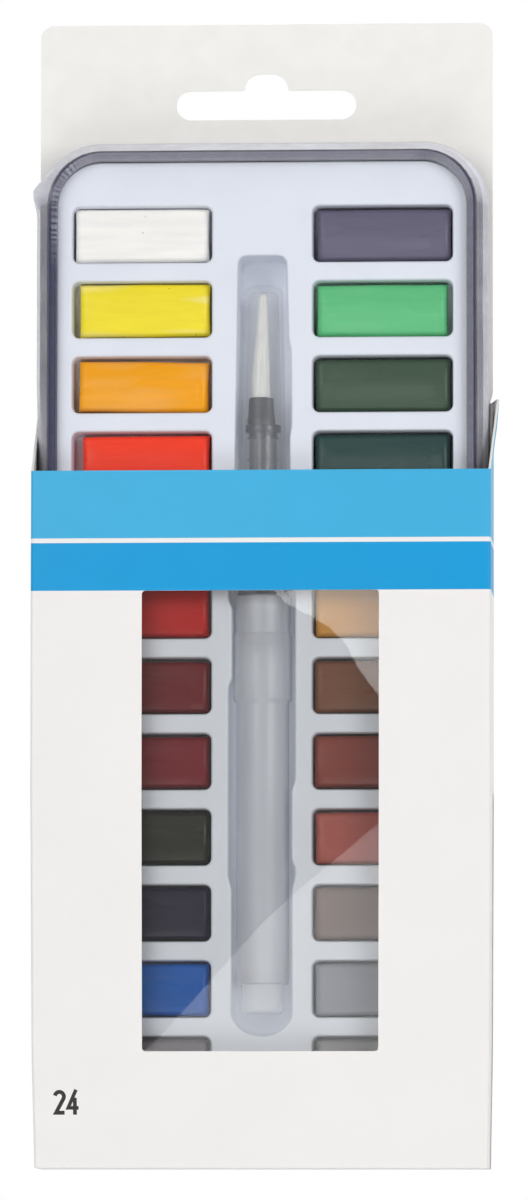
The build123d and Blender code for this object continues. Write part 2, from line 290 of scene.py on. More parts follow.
def softened(corners, gap, window):
    """A closed outline walked at even steps and averaged over a short window, with soft corners."""
    ends = np.vstack([corners, corners[:1]])
    reach = np.concatenate([[0], np.cumsum(np.linalg.norm(np.diff(ends, axis=0), axis=1))])
    at = np.linspace(0, reach[-1], int(reach[-1] / gap), endpoint=False)
    path = np.stack([np.interp(at, reach, ends[:, k]) for k in (0, 1)], 1)
    for _ in range(2):
        path = sum(np.roll(path, k, 0) for k in range(-window, window + 1)) / (2 * window + 1)
    along = np.roll(path, -1, 0) - np.roll(path, 1, 0)
    along /= np.linalg.norm(along, axis=1)[:, None]
    return path, np.stack([along[:, 1], -along[:, 0]], 1)


def arc(x, y, radius, start, end, steps):
    """Points on a circle between two angles in degrees."""
    a = np.radians(np.linspace(start, end, steps + 1))
    return np.stack([x + radius * np.cos(a), y + radius * np.sin(a)], 1)


def swept(outline, profile):
    """Rings of points: the outline moved along its normals by each offset, at each height."""
    points, normals = outline
    profile = np.asarray(profile, float)
    flat = points[None] + normals[None] * profile[:, :1, None]
    return np.concatenate([flat, np.broadcast_to(profile[:, 1:, None], flat.shape[:2] + (1,))], 2)


def inside(point, loop):
    """Whether each point lies in the closed loop, by counting the sides crossed by a ray."""
    x, y = point[:, None, 0], point[:, None, 1]
    a, b = loop[None], np.roll(loop, -1, 0)[None]
    cross = (a[..., 1] > y) != (b[..., 1] > y)
    with np.errstate(divide="ignore", invalid="ignore"):
        at = a[..., 0] + (y - a[..., 1]) * (b[..., 0] - a[..., 0]) / (b[..., 1] - a[..., 1])
    return (cross & (x < at)).sum(1) % 2 == 1


class Shape:
    """Collects grids, flats and caps of points in millimetres into one mesh."""

    def __init__(self):
        self.points, self.faces, self.slots, self.count = [], [], [], 0

    def put(self, points):
        """Adds points and gives their numbers."""
        points = np.asarray(points, float).reshape(-1, 3)
        self.points.append(points)
        self.count += len(points)
        return np.arange(self.count - len(points), self.count)

    def grid(self, p, around=True, flip=False):
        """Quads through the grid p[u, v] of points, closed along v when around is set."""
        index = self.put(p).reshape(p.shape[:2])
        if around:
            index = np.hstack([index, index[:, :1]])
        quads = np.stack([index[:-1, :-1], index[1:, :-1], index[1:, 1:], index[:-1, 1:]], -1)
        quads = quads.reshape(-1, 4)
        self.faces += (quads[:, ::-1] if flip else quads).tolist()
        self.slots += [0] * len(quads)

    def cap(self, ring, flip=False):
        """One flat face over a ring of points."""
        index = self.put(ring)
        self.faces.append((index[::-1] if flip else index).tolist())
        self.slots.append(0)

    def flat(self, outer, holes, z, lines=(), under=None, rim=0, prints=()):
        """Triangles over a plane outline with holes, kept to any extra lines.

        With under set, the same triangles close it below at that height, and a rim joins the two
        along every side that belongs to one triangle only. Each print is a loop and the material
        of the upper face inside it.
        """
        points, edges = [], []
        for loop in (outer, *holes, *[p[0] for p in prints]):
            n = len(points)
            edges += [(n + k, n + (k + 1) % len(loop)) for k in range(len(loop))]
            points += [tuple(p) for p in loop]
        for a, b in lines:
            edges.append((len(points), len(points) + 1))
            points += [tuple(a), tuple(b)]
        found, _, faces, *_ = delaunay_2d_cdt([Vector(p) for p in points], edges, [], 0, 1e-4)
        found = np.array([tuple(p) for p in found])
        faces = np.array(faces)
        middle = found[faces].mean(1)
        keep = inside(middle, np.asarray(outer))
        for hole in holes:
            keep &= ~inside(middle, np.asarray(hole))
        faces = faces[keep]
        p = found[faces]
        u, v = p[:, 1] - p[:, 0], p[:, 2] - p[:, 0]
        back = u[:, 0] * v[:, 1] - u[:, 1] * v[:, 0] < 0
        faces[back] = faces[back][:, ::-1]
        top = self.put(np.column_stack([found, np.full(len(found), z)]))
        self.faces += top[faces].tolist()
        inked = np.zeros(len(faces), int)
        for loop, ink in prints:
            inked[inside(found[faces].mean(1), np.asarray(loop))] = ink
        self.slots += inked.tolist()
        if under is None:
            return
        low = self.put(np.column_stack([found, np.full(len(found), under)]))
        self.faces += low[faces[:, ::-1]].tolist()
        self.slots += [rim] * len(faces)
        sides = np.concatenate([faces[:, [0, 1]], faces[:, [1, 2]], faces[:, [2, 0]]])
        key = np.sort(sides, 1)
        _, first, count = np.unique(key, axis=0, return_index=True, return_counts=True)
        sides = sides[first[count == 1]]
        a, b = sides.T
        walls = np.column_stack([low[a], low[b], top[b], top[a]])
        self.faces += walls.tolist()
        self.slots += [rim] * len(walls)

    def make(self, name, materials, body, nodes, slot, smooth=40, bend=None, modifiers=()):
        """The finished object, which rides on a body and stands for the named CAD nodes."""
        points = np.vstack(self.points)
        if bend:
            points = bend(points)
        mesh = bpy.data.meshes.new(name)
        mesh.from_pydata((points * MM).tolist(), [], self.faces)
        for look in materials:
            mesh.materials.append(look.material)
        mesh.polygons.foreach_set("material_index", self.slots)
        mesh.polygons.foreach_set("use_smooth", [True] * len(self.faces))
        weld(mesh)
        mesh.set_sharp_from_angle(angle=math.radians(smooth))
        item = bpy.data.objects.new(name, mesh)
        scene.collection.objects.link(item)
        for kind, settings in modifiers:
            modifier = item.modifiers.new(kind.lower(), kind)
            for key, value in settings.items():
                setattr(modifier, key, value)
        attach(item, body)
        if nodes:
            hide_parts(*nodes)
        return item


def weld(mesh):
    """Joins points that coincide and turns a closed mesh's faces outward."""
    work = bmesh.new()
    work.from_mesh(mesh)
    bmesh.ops.remove_doubles(work, verts=work.verts, dist=0.002 * MM)
    bmesh.ops.dissolve_degenerate(work, edges=work.edges, dist=0.0005 * MM)
    if all(e.is_manifold for e in work.edges) and work.calc_volume(signed=True) < 0:
        bmesh.ops.reverse_faces(work, faces=work.faces)
    work.to_mesh(mesh)
    work.free()


def turned(profile, closed=False, segments=56, split=(), aside=0.0):
    """Rings about the axis of the brush through points given as radius and distance from the mouth.

    Faces further from the mouth than a place in split take the next material. The piece may stand
    a little aside of the axis along X.
    """
    profile = np.asarray(profile, float)
    angle = np.linspace(0, 2 * np.pi, segments, endpoint=False)
    radius, along = profile[:, 0, None], profile[:, 1, None]
    x = radius * np.sin(angle) + aside
    y, z = np.broadcast_to(mouth + along, x.shape), axis_z + radius * np.cos(angle)
    rings = np.stack([x, y, z], 2)
    shape = Shape()
    if closed:
        rings = np.concatenate([rings, rings[:1]])
        shape.grid(rings)
        middle = (along[:, 0] + np.roll(along[:, 0], -1)) / 2
        passed = np.searchsorted(split, middle)
        shape.slots = np.repeat(passed, segments).tolist()
    else:
        shape.grid(rings)
        shape.cap(rings[0])
        shape.cap(rings[-1], flip=True)
    return shape


# ---- tins
def make_tin(name, low, high, bead, corner, nodes):
    """A drawn sheet tin: foot, wall, edge rolled into a bead, and the inside of the same sheet.

    The section is carried round the oblong of the tin: quarter circles of the foot's radius, a
    straight wall, and a circle of the bead's diameter that the wall runs into.
    """
    half = (high - low) / 2
    sheet, foot = 0.4, 1.4
    outline = oblong(half[0], half[1], corner, (0, (low[1] + high[1]) / 2), 32)
    r, wall, top = bead / 2, sheet - bead, high[2] - bead / 2
    inner = wall - sheet

    def heel(offset, height, degrees, count):
        a = np.radians(np.linspace(*degrees, count))
        return list(zip(offset - foot + foot * np.sin(a), height + foot - foot * np.cos(a)))

    profile = [(wall - foot, low[2]), *heel(wall, low[2], (12, 90), 7), (wall, top - r * 0.8),
               *arc(-r, top, r, -128, 180, 16), (inner, top - r * 0.8),
               (inner, low[2] + foot + sheet), *heel(inner, low[2] + sheet, (90, 12), 5),
               (inner - foot, low[2] + sheet)]
    rings = swept(outline, profile)
    shape = Shape()
    shape.grid(rings, flip=True)
    shape.cap(rings[0], flip=True)
    shape.cap(rings[-1])
    shape.make(name, [NAVY], "case", nodes, "navy_tinplate")


# ---- tray
# Half the sides of a well's mouth, the step from row to row, and each column's place in X.
WELL = (15.05, 6.1)
PITCH, COLUMN = 16.15, 25.76
TOP_ROW = mid + PITCH * 5.5
WELL_DEPTH, CHANNEL_DEPTH = 7.0, 10.8
# The walls lean in by two degrees, and every mouth is rolled over with this radius.
DRAFT = math.tan(math.radians(2))
ROLL = 0.6


def channel_path():
    """The plan of the brush channel: slim head, shoulders, a nub on each side, finger recess."""
    right = [(6.5, -73.2), (6.5, -51.2), (7.2, -49.0), (7.2, -46.9), (6.45, -45.3), (6.45, -30.2),
             (7.2, -28.6), (7.2, 31.0), (6.0, 34.0), (5.95, 45.4), (6.35, 47.4), (6.2, 64.2),
             (5.7, 65.6)]
    left = [(-5.95, 34.0), (-7.2, 31.0), (-7.2, 10.1), (-6.45, 8.5), (-6.45, -6.6), (-7.2, -8.2),
            (-7.2, -49.0), (-6.5, -51.2), (-6.5, -73.2)]
    bowl = arc(0, -75.8, 7.0, -158, -22, 24)
    top = arc(3.55, 82.55, 1.7, 0, 90, 6), arc(-3.55, 82.55, 1.7, 90, 180, 6)
    path = np.vstack([bowl, right, *top, left])
    return path + (0, mid)


def pocket(shape, outline, inset, depth, drafted, fillet, steps):
    """Adds a pocket of the tray and gives its mouth.

    Its section is the rolled edge, a wall that leans in over the drafted height, and a fillet that
    runs out on a flat floor.
    """
    lean, floor = -inset - drafted * DRAFT, face - depth
    profile = [*arc(ROLL - inset, face - ROLL, ROLL, 90, 180, 6), (lean, floor + fillet),
               *arc(lean - fillet, floor + fillet, fillet, 0, -90, steps)[1:]]
    rings = swept(outline, profile)
    shape.grid(rings, flip=True)
    shape.cap(rings[-1])
    return rings[0][:, :2]


def make_tray():
    """The moulded tray: one flat face whose mouths roll into drafted wells and the brush channel.

    The value kept on its points grows with the depth in the channel. It drives a painted glow,
    an emission that brightens the channel in place of the light that comes through the plastic
    and the clear brush.
    """
    shape = Shape()
    half = (tray_high - tray_low) / 2
    edge = oblong(half[0] + 0.32, half[1] + 0.1, 9.6, (-0.12, mid), 20)
    skirt = swept(edge, [*arc(-0.4, face - 0.4, 0.4, 90, 0, 5), (0, 4.2), (-1.4, 2.2)])
    shape.grid(skirt)
    shape.cap(skirt[-1], flip=True)
    wells = [oblong(*WELL, 1.6, (side * COLUMN, TOP_ROW - PITCH * row), 7)
             for row in range(12) for side in (-1, 1)]
    holes = [pocket(shape, well, 0.05, WELL_DEPTH, 6.0, 0.6, 4) for well in wells]
    channel = softened(channel_path(), 0.4, 1)
    holes.append(pocket(shape, channel, 0.1, CHANNEL_DEPTH, 4.0, 1.1, 5))
    shape.flat(skirt[0][:, :2], holes, face)
    tray = shape.make("tray", [TRAY], "case", ["pan_tray"], "white_polystyrene", smooth=50)
    place = np.empty(len(tray.data.vertices) * 3)
    tray.data.vertices.foreach_get("co", place)
    x, y, z = place.reshape(-1, 3).T / MM
    # The painted glow fades out along the brush's cap, between these places in Y.
    bright_to, dark_from = 52, 66
    along = np.clip((dark_from - y) / (dark_from - bright_to), 0, 1)
    deep = np.clip((face - z) / CHANNEL_DEPTH, 0, 1) * along * (abs(x) < 8)
    tray.data.attributes.new("deep", "FLOAT", "POINT").data.foreach_set("value", deep)


# ---- paint cakes
# Each cake's shift in its well along X and Y in mm, its turn in degrees and its half sizes in mm.
CAKES = {
    "left": [
        (-0.1, 0.05, 0.1, 14.4, 5.75), (0.5, 0.05, 0.2, 14.0, 5.65), (0.3, -0.25, -0.9, 13.95, 5.4),
        (0.8, -0.2, 0.2, 13.65, 5.5), (0.4, 0.0, -0.2, 14.2, 5.5), (0.2, -0.1, 0.2, 14.2, 5.5),
        (0.3, -0.15, -0.3, 14.3, 5.5), (0.3, -0.1, 0.2, 14.3, 5.5), (0.35, 0.0, 0.0, 14.35, 5.6),
        (0.35, -0.1, 0.3, 14.35, 5.6), (0.3, -0.05, -0.2, 14.3, 5.5), (0.1, 0.0, 0.0, 14.2, 5.5)],
    "right": [
        (0.3, -0.15, 0.1, 14.4, 5.55), (-0.15, -0.25, 0.1, 14.0, 5.55), (0.05, -0.2, 0.0, 14.5, 5.6),
        (0.0, -0.2, 0.1, 14.5, 5.6), (0.0, 0.1, -0.1, 14.2, 5.5), (-0.2, -0.1, 0.1, 14.2, 5.5),
        (-0.25, -0.15, 0.2, 14.4, 5.55), (-0.25, 0.0, -0.1, 14.4, 5.55), (-0.2, -0.1, 0.3, 14.2, 5.5),
        (-0.2, 0.0, 0.0, 14.3, 5.55), (-0.2, -0.1, 0.1, 14.2, 5.5), (0.0, 0.0, 0.0, 14.2, 5.5)],
}


def make_cake(node, side, row, look, slot):
    """A pressed cake: a height over its plan, crowned across and rounded down at all four edges.

    The crown falls with the square of the place across, the edges fall by quarter ellipses of a
    reach and a depth, and slow waves run over the top. Its lines stand closer at the edges.
    """
    shift_x, shift_y, turn, hx, hy = CAKES[side][row]
    low, high = box(node)
    centre = (low + high) / 2
    seed = row + (20 if side == "right" else 0)
    edges = np.concatenate([np.linspace(0, 1, 11)[:-1] ** 1.7 * 1.4, np.linspace(1.4, 5.4, 9)[:-1]])

    def lines(half):
        near = edges[edges < half]
        return np.concatenate([-half + near, [0], half - near[::-1]])

    x, y = np.meshgrid(lines(hx), lines(hy), indexing="ij")
    crown = 0.85 * (y / hy) ** 2 + 0.12 * (x / hx) ** 4
    drop = np.zeros_like(x)
    for inward, reach, depth in ((hx - abs(x), 1.7, 1.1), (hy - abs(y), 0.9, 0.9)):
        t = np.clip(1 - inward / reach, 0, 1)
        drop += depth * (1 - np.sqrt(1 - t ** 2))
    ripple = 0.05 * np.sin(x * 0.55 + seed * 1.7) * np.cos(y * 0.8 + seed)
    ripple += 0.03 * np.sin(x * 1.3 + seed * 2.9)
    bulge = 1 - 0.012 * (1 - (y / hy) ** 2) * (abs(x) / hx) ** 6
    z = high[2] - 0.05 - crown - np.minimum(drop, 1.3) + ripple * np.clip((hy - abs(y)) / 2, 0, 1)
    a = math.radians(turn)
    px, py = x * bulge, y * (1 + 0.010 * np.sin(x * 0.35 + seed))
    px, py = px * math.cos(a) - py * math.sin(a), px * math.sin(a) + py * math.cos(a)
    top = np.stack([px + centre[0] + shift_x, py + centre[1] + shift_y, z], 2)
    rim = np.concatenate([top[0, :-1], top[:-1, -1], top[-1, :0:-1], top[:0:-1, 0]])
    foot = rim.copy()
    foot[:, 2] = low[2]
    shape = Shape()
    shape.grid(top, around=False)
    shape.grid(np.stack([rim, foot]))
    shape.cap(foot)
    shape.make("paint_" + node[5:], [look], "case", [node], slot, smooth=60)


# ---- film
def make_film():
    """Shrunk film: a closed strip that follows the tin's outline, slants out over the lid's edge
    and hangs down. Fine folds cross it at the corners, and it is drawn out into one small ear.

    Folds and waves are sums of sines of the distance along the outline, moved out by how loose
    each ring is. Its haze value is kept on each point: some on the crest of the rim towards +X and
    +Y, almost none on the rim's outer edge, more beyond it, and most where the film is joined along
    the upper side. It is partly real milkiness where the film gathers and partly painted glare: it is
    set higher on the upper and right sides, where the light catches the film.
    """
    half = (base_high - base_low) / 2
    points, normals = dense(oblong(half[0], half[1], 11.5, (0, mid), 90), 0.5)
    nx, ny = np.clip(normals, -1, 1).T
    corner = np.clip(np.abs(nx * ny) * 2, 0, 1)
    t = np.cumsum(np.linalg.norm(np.roll(points, -1, 0) - points, axis=1))
    y = points[:, 1]
    left, right, top = np.clip(-nx, 0, 1), np.clip(nx, 0, 1), np.clip(ny, 0, 1)
    near_ear = np.clip(1 - abs(y - 78) / 10, 0, 1)
    gathered = np.clip(1.3 * corner * top + near_ear, 0, 1) * left ** 0.4
    few = np.exp(-(((points[:, 0] - 36) / 2.2) ** 2)) * top * 0.8
    fold = np.abs(np.sin(t * 2.9 + np.sin(t * 0.9))) ** 2
    pleat = corner * (0.04 * np.sin(t * 1.1) + 0.05 * np.sin(t * 3.3 + 1))
    pleat += 0.14 * gathered * (fold - 0.5)
    wave = 0.05 * np.sin(t * 0.12) + 0.04 * np.sin(t * 0.25 + 2)
    ear = np.exp(-((y - 84.8) / 2.4) ** 2) * left
    free = np.clip((y - 30) / 15, 0, 1) * left
    seam_and_glare = top ** 0.7
    streak = 0.5 + 0.5 * np.sin(t * 0.35 + 2 * np.sin(t * 0.13))
    # Painted glare: the milky share is raised on the upper and right sides, where the light falls on
    # the film.
    crest = 0.015 + 0.11 * top + 0.07 * right + gathered * (0.2 * fold - 0.05) - 0.1 * few * fold
    inner = 0.1 + 0.6 * seam_and_glare + 0.04 * streak
    outer = 0.2 + 0.5 * seam_and_glare + 0.14 * right + 0.06 * streak
    edge = -0.12 - 0.3 * right - 0.5 * left
    # The offset from the rim's outline, the height, the looseness and the milky share of each ring,
    # which includes the painted glare.
    rings = [
        (-2.35, 17.45, 0, 1.2 * crest), (-1.8, 17.82, 0.1, 1.1 * crest), (-1.1, 17.98, 0.2, crest),
        (edge - 0.3, 17.95, 0.2, 1.1 * crest), (edge, 17.85, 0.3, 0 * crest),
        (0.1, 17.2, 0.4, 0.01 + 0.02 * top), (0.3, 16.5, 0.5, inner), (0.9, 15.2, 0.8, inner),
        (1.35, 13.9, 1, inner), (1.5, 13.5, 1, outer), (2.1, 11.9, 0.8, outer),
        (2.5, 11.0, 0.6, outer), (2.45, 10.0, 0.5, outer), (1.7, 8.0, 0.8, outer),
        (1.2, 5.0, 1, outer), (1.0, 2.4, 0.3, outer)]
    shape, haze_and_glare, strip = Shape(), [], []
    for offset, z, slack, value in rings:
        reach = offset + slack * (pleat + 0.6 * wave) + slack * (1.8 * ear + 0.6 * free) * (z < 16)
        reach = np.minimum(reach, 2.65 + 0.5 * free + 0.8 * ear)
        strip.append(np.column_stack([points + normals * reach[:, None], z + 0.25 * slack * pleat]))
        haze_and_glare.append(np.clip(value + 0.3 * ear * slack, 0, 1))
    shape.grid(np.array(strip), flip=True)
    film = shape.make("film", [FILM], "case", ["shrink_band"], "shrink_film", smooth=60,
                      modifiers=[("SOLIDIFY", {"thickness": 0.06 * MM, "offset": 1})])
    kept = film.data.attributes.new("haze_and_glare", "FLOAT", "POINT")
    kept.data.foreach_set("value", np.concatenate(haze_and_glare))


# ---- sleeve
def stroke(path, width):
    """The outline of a pen line: its points moved to both sides, along the mitre of two runs."""
    path = np.asarray(path, float)
    run = np.diff(path, axis=0)
    run /= np.linalg.norm(run, axis=1)[:, None]
    side = np.stack([-run[:, 1], run[:, 0]], 1)
    before, after = np.vstack([side[:1], side]), np.vstack([side, side[-1:]])
    mitre = (before + after) / (1 + (before * after).sum(1))[:, None] * width / 2
    return np.vstack([path + mitre, (path - mitre)[::-1]])


def numerals():
    """The number of cakes, 24, in plain numerals 5.3 mm high, from their lower left corner."""
    two = np.vstack([arc(1.05, 3.85, 0.98, 170, -32, 10), [(0.25, 0.42)], [(2.1, 0.42)]])
    four = [(2.05, 5.3), (0.3, 1.45), (2.55, 1.45)]
    upright = [(4.35, 0), (4.35, 3.6)]
    return [stroke(two, 0.84), stroke(np.add(four, (2.6, 0)), 0.78), stroke(upright, 0.84)]


def tapered(points):
    """The sleeve's points drawn in towards its bottom, a little more on the left than on the right.

    The amount grows evenly from one place in Y to the next.
    """
    x, y = points[:, 0], points[:, 1]
    slow, fast = np.clip((-35 - y) / 65, 0, 1), np.clip((-99 - y) / 24, 0, 1)
    drawn = np.where(x < 0, 0.55 * slow + 0.65 * fast, 0.3 * slow + 0.45 * fast)
    return np.column_stack([x - x / 49 * drawn, points[:, 1:]])


def make_sleeve():
    """The folded card sleeve: one flat pattern of card, folded round the set over rounded creases.

    The pattern runs across: right side, front, left side, back with the hang tab, glue flap.
    A point's distance across the pattern gives its place along the folded section, which is
    straight runs joined by quarter circles, and its height off the pattern moves it along the
    section's normal. The glue flap comes to lie in the right side's own plane.
    """
    width, depth = carton_high[0] - carton_low[0] - board, carton_high[2] - board
    low, top = carton_low[1], carton_high[1]
    bend, flap = 0.5, 8.0
    quarter = bend * math.pi / 2
    runs = [depth - bend, width - 2 * bend, depth - 2 * bend, width - 2 * bend, flap]
    s = [0]
    for i, run in enumerate(runs):
        s += [s[-1] + run] + ([s[-1] + run + quarter] if i < 4 else [])
    rise = 16.2
    front_top = low + 148.2
    side_top = front_top + rise

    def fold(s):
        """Place (x, z) and outward direction of the section at distances s across the pattern."""
        x, z, nx, nz = (np.zeros_like(s) for _ in range(4))
        place, at, heading = np.array([width / 2, board / 2]), 0, math.pi / 2
        for i, run in enumerate(runs):
            direction = np.array([math.cos(heading), math.sin(heading)])
            here = (s >= at - 1e-4) & (s <= at + run + 1e-4)
            x[here], z[here] = place[:, None] + direction[:, None] * (s[here] - at)
            nx[here], nz[here] = direction[1], -direction[0]
            place, at = place + direction * run, at + run
            if i == 4:
                break
            here = (s > at + 1e-4) & (s < at + quarter - 1e-4)
            centre = place + bend * np.array([-direction[1], direction[0]])
            swing = heading - math.pi / 2 + (s - at) / bend
            nx[here], nz[here] = np.cos(swing)[here], np.sin(swing)[here]
            x[here], z[here] = centre[0] + bend * nx[here], centre[1] + bend * nz[here]
            place = centre + bend * np.array([math.cos(heading), math.sin(heading)])
            at, heading = at + quarter, heading + math.pi / 2
        return x, z, nx, nz

    pattern = [(s[0], low), (s[9], low), (s[9], side_top - 6), (s[8], side_top),
               (s[7], side_top), (s[7], top), (s[6], top), (s[6], side_top), (s[5], side_top),
               (s[4], front_top), (s[3], front_top), (s[2], front_top), (s[1], front_top),
               (s[0] + flap, side_top), (s[0], side_top)]
    radii = [0.01, 0.01, 3, 0.01, 0.01, 2.8, 2.8, 0.01, 0.01, 0.01, 0.01, 0.01, 0.01, 1.5, 0.01]
    outer, _ = rounded(pattern, radii, 8)
    centre, wide, high = (s[2] + s[3]) / 2, 50.5, 97.9
    window, _ = oblong(wide / 2, high / 2, 0.8, (centre, low + 24.6 + high / 2), 6)
    # The slot of the hang tab: a long slot with a round bay in the middle of its upper side.
    bay, reach, half_slot = 4.6, 19.2, 3.2
    slot = [(reach, -half_slot), (reach, half_slot), (bay, half_slot), (bay, 6.8), (-bay, 6.8),
            (-bay, half_slot), (-reach, half_slot), (-reach, -half_slot)]
    hole, _ = rounded(slot, [3.19, 3.19, 0.5, 3.4, 3.4, 0.5, 3.19, 3.19], 10)
    hole = hole + ((s[6] + s[7]) / 2, top - 14.4 - half_slot)
    # Lines that the board can bend along: the creases, the leaning corner, the taper and the tab.
    lines = []
    for i, end in enumerate((front_top, front_top, side_top, side_top)):
        for x in np.linspace(s[2 * i + 1], s[2 * i + 2], 6):
            lines.append(((x, low), (x, end)))
    lines += [((s[0] + 0.01, y), (s[1] - 12.2 * (y - front_top) / rise, y))
              for y in np.linspace(front_top, side_top - 2, 8)]
    lines += [((s[0] + d, front_top), (s[0] + d, side_top - 0.1)) for d in (2, 4, 6)]
    lines += [((a, y), (b, y)) for y in np.linspace(low + 3, low + 80, 12)
              for a, b in ((s[0], s[5]), (s[5], s[9]))]
    lines += [((s[6], side_top + y), (s[7], side_top + y)) for y in (0.5, 1.5, 2.5)]
    # Two bands of ink over the window, from the right side's edge to beyond the left side's.
    start, end, sill = -1, s[5] + 1, window[:, 1].max()
    prints = [([(start, a), (end, a), (end, b), (start, b)], ink)
              for a, b, ink in ((sill + 11.2, side_top + 1, 2), (sill, sill + 10.2, 3))]
    prints += [(loop * (-1, 1) + (centre + 44.2, low + 11.2), 4) for loop in numerals()]
    shape = Shape()
    shape.flat(outer, [window, hole], board / 2, lines, under=-board / 2, rim=1, prints=prints)

    def bent(points):
        """The fold, with the loose upper corner of the right side standing a little outwards."""
        x, z, nx, nz = fold(points[:, 0])
        y = points[:, 1]
        lean = 1.4 * np.clip((y - front_top) / rise, 0, 1) ** 1.3 * np.clip(z / 8, 0, 2)
        x = x + points[:, 2] * nx + np.where(points[:, 0] <= s[1], lean, 0)
        x = x * (1 + 0.0125 * np.clip((y - side_top) / 2, 0, 1))
        return tapered(np.column_stack([x, y, z + points[:, 2] * nz]))

    shape.make("sleeve", [CARD, RAW, SKY, DEEP, INK], "sleeve", ["carton"], "coated_board",
               smooth=35, bend=bent)


def make_bottom():
    """The glued bottom of the sleeve: the outer panel and the two dust flaps behind it."""
    shape = Shape()
    for layer, inset in ((0, 0.5), (1, 1.2), (2, 1.2)):
        y = carton_low[1] + board * layer
        half = carton_high[2] / 2
        loop = oblong(carton_high[0] - inset, half - 0.5, 0.4, (0, half), 3)[0]
        skins = [np.column_stack([loop[:, 0], np.full(len(loop), y + h), loop[:, 1]])
                 for h in (0.02, board - 0.02)]
        shape.grid(np.stack(skins), flip=True)
        shape.cap(skins[0])
        shape.cap(skins[1], flip=True)
    shape.make("sleeve_bottom", [CARD], "sleeve", [], "coated_board", bend=tapered)


# ---- water brush
def make_brush():
    """The pieces of the water brush, each turned from the outline of half its section.

    An outline is a list of radii and distances from the barrel's mouth, in mm.
    """
    tail = barrel_low[1] - mouth
    barrel = [(4.0, -10.0), (4.0, -0.3), (4.3, 0), (5.65, 0), (5.95, -0.3), (5.95, -8.0),
              (6.05, -8.3), (6.3, -8.6), (6.3, -22.0), (6.15, -22.5), (5.7, -23.0), (5.65, -23.6),
              (5.6, tail + 0.6), (5.3, tail + 0.1), (5.0, tail), (3.2, tail), (3.2, tail + 1.8),
              (4.75, tail + 1.8), (4.75, -10.8)]
    turned(barrel, True).make("barrel", [FROSTED], "barrel", ["brush_barrel"], "frosted_plastic")
    end = plug_end - mouth
    plug = [(3.18, tail + 4.0), (3.18, tail), (4.35, tail - 0.02), (4.35, end + 0.9),
            (4.2, end + 0.45), (3.8, end + 0.1), (3.3, end)]
    turned(plug).make("end_plug", [PLUG], "barrel", ["brush_end_plug"], "frosted_plastic")
    top = collar_end - mouth
    flange = top - 1.5
    collar = [(1.5, -8.0), (3.92, -8.0), (3.92, -3.0), (2.52, -3.0), (2.52, -1.6), (3.92, -1.6),
              (3.92, 0.075), (5.32, 0.075), (5.32, 5.0), (4.9, 5.0)]
    # Four ridges to hold it by.
    for y in (6.2, 7.7, 9.2, 10.7):
        collar += [(4.6, y), (4.95, y + 0.4), (4.95, y + 0.75), (4.6, y + 1.15)]
    collar += [(4.6, 13.2), (5.0, 13.4), (5.0, 14.2), (4.6, 14.4), (4.4, 24.0), (3.9, 25.3),
               (3.2, 26.2), (3.0, 26.9), (3.0, 29.1), (3.35, 29.15), (3.35, 29.35), (3.0, 29.4),
               (3.0, 33.7), (3.4, 33.75), (3.4, 33.95), (3.05, 34.0), (3.05, 35.0), (3.75, 35.1),
               (3.8, 35.25), (3.8, 36.5), (3.7, 36.65), (3.0, 36.7), (3.0, flange), (2.4, flange),
               (2.4, top), (1.5, top)]
    head = turned(collar, True, split=(14.3, 34.02))
    head.make("collar", [GRIP, HEAD, BAND], "head", ["brush_collar"], "frosted_plastic")
    seal = [(2.6, -1.64), (3.92, -1.64), (3.92, -2.96), (2.6, -2.96)]
    turned(seal, True).make("seal", [RUBBER], "seal", ["brush_seal"], "seal_rubber")
    turned([(1.5, -12.0), (1.5, top)]).make("feed", [FEED], "head", ["brush_feed"], "black_feed")
    f0, f1 = ferrule_low[1] - mouth, ferrule_high[1] - mouth
    ferrule = [(2.0, f0 + 0.02), (3.0, f0 + 0.02), (3.0, f0 + 1.3), (2.85, f0 + 1.5),
               (2.65, f1 - 0.85), (2.55, f1 - 0.7), (2.0, f1 - 0.7)]
    sheath = turned(ferrule, True, aside=-0.4)
    sheath.make("ferrule", [FERRULE], "head", ["brush_ferrule"], "grey_ferrule")
    make_tuft(f1)
    length = cap_end - mouth
    cap = [(6.3, 0.15), (6.3, 3.0), (6.2, 4.0), (4.9, 26.5), (4.3, length - 1.6),
           (4.15, length - 0.8), (3.8, length - 0.25), (3.2, length), (0.01, length),
           (0.01, length - 1.2), (2.7, length - 1.2), (3.3, length - 1.8), (4.15, 26.5),
           (5.35, 5.2), (5.4, 4.6), (5.4, 0.15)]
    turned(cap, True, 72).make("cap", [CLEAR], "cap", ["brush_cap"], "clear_plastic")


def make_tuft(f1):
    """The filaments: a column that leaves the ferrule, slims on one side and ends blunt.

    Its radius swings by two sines round it, one straight and one that winds along, as flutes.
    """
    along = np.linspace(f1 - 3.0, cap_end - mouth - 1.4, 48)
    radius = np.interp(along, [40.2, 42.5, 48.3, 54.4, 60.6, 64.6, 65.0],
                       [1.9, 1.98, 1.85, 1.45, 1.1, 0.9, 0.5])
    lean = np.interp(along, [42.5, 48.3, 54.4, 60.6, 65.0], [-0.5, -0.52, -0.25, -0.06, -0.02])
    angle = np.linspace(0, 2 * np.pi, 96, endpoint=False)
    twist = 13 * angle + 0.15 * along[:, None]
    r = radius[:, None] * (1 + 0.02 * np.sin(angle * 32)[None] + 0.012 * np.sin(twist))
    x, z = r * np.sin(angle) + lean[:, None], axis_z + r * np.cos(angle)
    rings = np.stack([x, np.broadcast_to(mouth + along[:, None], r.shape), z], 2)
    shape = Shape()
    shape.grid(rings)
    shape.cap(rings[0])
    shape.cap(rings[-1], flip=True)
    shape.make("tuft", [NYLON], "head", ["brush_bristles"], "nylon_bristles", smooth=70)


